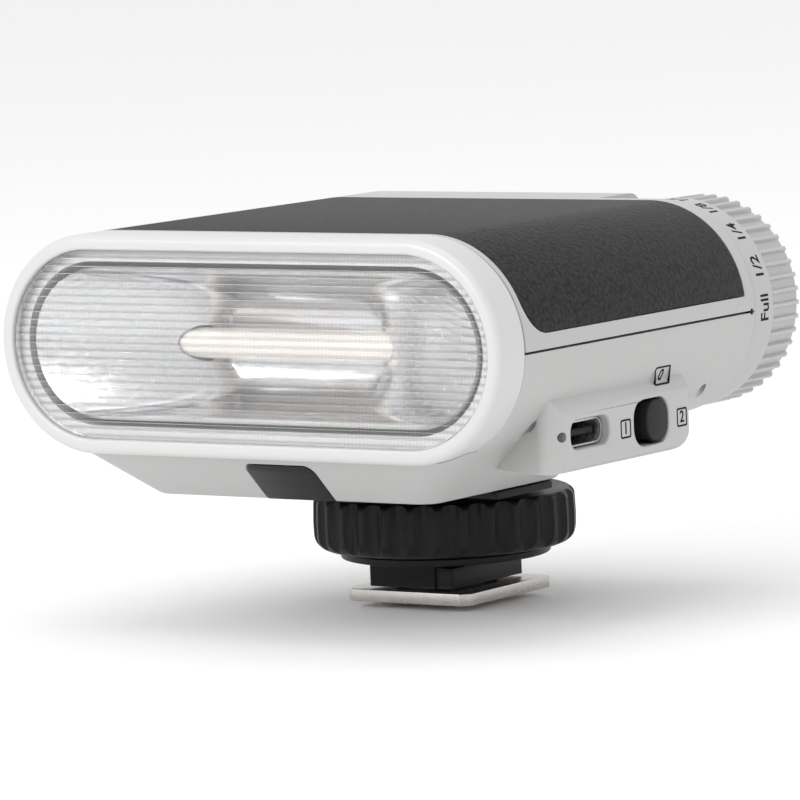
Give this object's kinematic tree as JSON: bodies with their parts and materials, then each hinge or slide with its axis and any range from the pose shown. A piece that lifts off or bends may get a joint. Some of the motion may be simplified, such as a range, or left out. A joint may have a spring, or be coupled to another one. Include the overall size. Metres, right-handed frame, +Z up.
{
  "type": "speedlight flash",
  "caption": "Pocket camera flash with a round-ended head and prism lens, grained top, power dial, side charging socket and mode switch, and a hot-shoe foot with a lock wheel.",
  "frame": {"origin": "centre of the foot plate's underside, where it lies in the camera's hot shoe", "axes": "+Z up from the foot to the head; -Y the way the lens faces; +X the side with the console, seen from behind the flash on the right"},
  "size_m": [0.0738, 0.0689, 0.0495],
  "materials": {
    "bezel_white": "satin white-silver paint on moulded plastic",
    "silver_plastic": "fine matte silver paint on moulded plastic",
    "clear_lens": "clear acrylic with moulded prism lines",
    "reflector_metal": "bright polished sheet",
    "tube_glass": "clear quartz tube",
    "silicone": "soft moulded silicone",
    "leatherette": "black pebble-grained covering",
    "window_black": "smooth dark infrared window",
    "sensor_dark": "moulded sensor body",
    "black_plastic": "fine matte black moulding",
    "nickel": "brushed nickel-plated plate",
    "steel": "plain drawn or pressed steel",
    "contact_brass": "gold-coloured plated contact",
    "circuit_board": "green solder mask on glass-fibre board",
    "capacitor_sleeve": "shrink sleeve",
    "battery_foil": "foil pouch",
    "transformer_tape": "taped winding on a moulded bobbin",
    "coil_copper": "varnished copper winding",
    "led_clear": "clear light pipe"
  },
  "bodies": {
    "housing": {"front_bezel": "bezel_white", "top_cover": "silver_plastic", "lower_shell": "silver_plastic", "rear_cover": "silver_plastic", "fresnel_lens": "clear_lens", "reflector": "reflector_metal", "xenon_tube": "tube_glass", "tube_cap_left": "silicone", "tube_cap_right": "silicone", "top_leather": "leatherette", "sensor_window": "window_black", "photo_sensor": "sensor_dark", "mount_base": "black_plastic", "contact_insulator": "black_plastic", "usb_tongue": "black_plastic", "rotary_switch": "black_plastic", "flash_transistor": "black_plastic", "foot_plate": "nickel", "usb_shell": "steel", "mode_switch": "steel", "test_switch": "steel", "contact_spring": "steel", "case_screw_1": "steel", "case_screw_2": "steel", "case_screw_3": "steel", "case_screw_4": "steel", "foot_screw_1": "steel", "foot_screw_2": "steel", "foot_screw_3": "steel", "foot_screw_4": "steel", "mount_screw_1": "steel", "mount_screw_2": "steel", "mount_screw_3": "steel", "mount_screw_4": "steel", "main_board": "circuit_board", "side_board": "circuit_board", "rear_board": "circuit_board", "flash_capacitor": "capacitor_sleeve", "battery_cell": "battery_foil", "charging_transformer": "transformer_tape", "trigger_coil": "coil_copper", "charge_led": "led_clear", "ready_led": "led_clear"},
    "dial": {"power_dial": "silver_plastic", "dial_shaft": "steel"},
    "button": {"test_button": "black_plastic"},
    "knob": {"mode_knob": "black_plastic"},
    "clamp": {"clamp_plate": "black_plastic"},
    "wheel": {"lock_wheel": "black_plastic"},
    "pin": {"contact_pin": "contact_brass"}
  },
  "joints": [
    {"name": "power_dial_turn", "type": "hinge", "parent": "housing", "child": "dial", "pos_m": [0.02337, 0.022, 0.03518], "axis": [0, 1, 0], "range_deg": [0, 157.5]},
    {"name": "test_button_press", "type": "slide", "parent": "housing", "child": "button", "axis": [0, -1, 0], "range_m": [0, 0.0004], "stiffness_N_per_m": 1500, "springref_m": -0.0003},
    {"name": "mode_switch_slide", "type": "slide", "parent": "housing", "child": "knob", "axis": [0, -1, 0], "range_m": [0, 0.003]},
    {"name": "clamp_slide", "type": "slide", "parent": "housing", "child": "clamp", "axis": [0, 0, -1], "range_m": [-0.001, 0.0015]},
    {"name": "lock_wheel_turn", "type": "hinge", "parent": "clamp", "child": "wheel", "pos_m": [0, 0, 0.0097], "axis": [0, 0, -1], "range_deg": [-244, 366]},
    {"name": "contact_pin_press", "type": "slide", "parent": "housing", "child": "pin", "axis": [0, 0, 1], "range_m": [0, 0.0007], "stiffness_N_per_m": 600, "springref_m": -0.001, "deforming": ["contact_spring"]}
  ],
  "couplings": [
    {"joint": "lock_wheel_turn", "follows": "clamp_slide", "rad_per_m": 4188.8}
  ]
}
